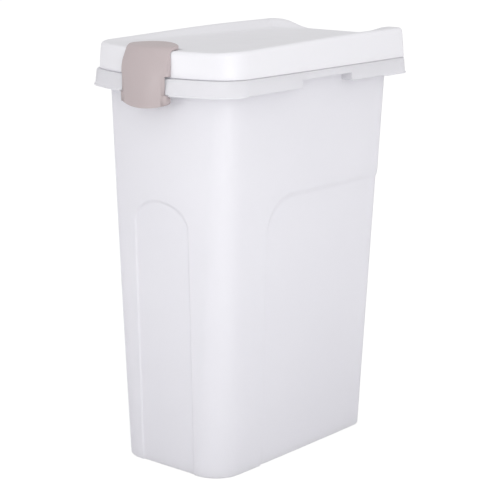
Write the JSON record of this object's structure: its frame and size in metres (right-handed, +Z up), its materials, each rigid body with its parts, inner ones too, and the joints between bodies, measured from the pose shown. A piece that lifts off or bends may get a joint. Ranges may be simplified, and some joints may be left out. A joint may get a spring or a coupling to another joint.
{
  "type": "pet food storage bin",
  "caption": "Tall tapering plastic bin for dry pet food, with a dished lid hinged at the back and a clip that hooks the lid's front under the rim.",
  "frame": {"origin": "centre of the flat face that the tub stands on", "axes": "+Z up, -Y towards the front with the clip, +X to the right as the front is looked at"},
  "size_m": [0.2294, 0.3841, 0.5153],
  "materials": {
    "tub_plastic": "milky, slightly translucent polypropylene, satin",
    "lid_plastic": "opaque white polypropylene, fine satin",
    "seal_rubber": "soft grey-white seal",
    "clip_plastic": "taupe, semi-matt",
    "pin_steel": "plain steel wire",
    "hinge_pin_plastic": "white plastic, satin"
  },
  "bodies": {
    "tub": {"tub": "tub_plastic", "left_hinge_pin": "hinge_pin_plastic", "right_hinge_pin": "hinge_pin_plastic"},
    "lid": {"lid": "lid_plastic", "lid_seal": "seal_rubber", "clip_pin": "pin_steel"},
    "clip": {"clip": "clip_plastic"}
  },
  "joints": [
    {"name": "lid_hinge", "type": "hinge", "parent": "tub", "child": "lid", "pos_m": [0, 0.1904, 0.4782], "axis": [-1, 0, 0], "range_deg": [0, 105]},
    {"name": "clip_hinge", "type": "hinge", "parent": "lid", "child": "clip", "pos_m": [0, -0.153, 0.5086], "axis": [-1, 0, 0], "range_deg": [0, 90]}
  ]
}
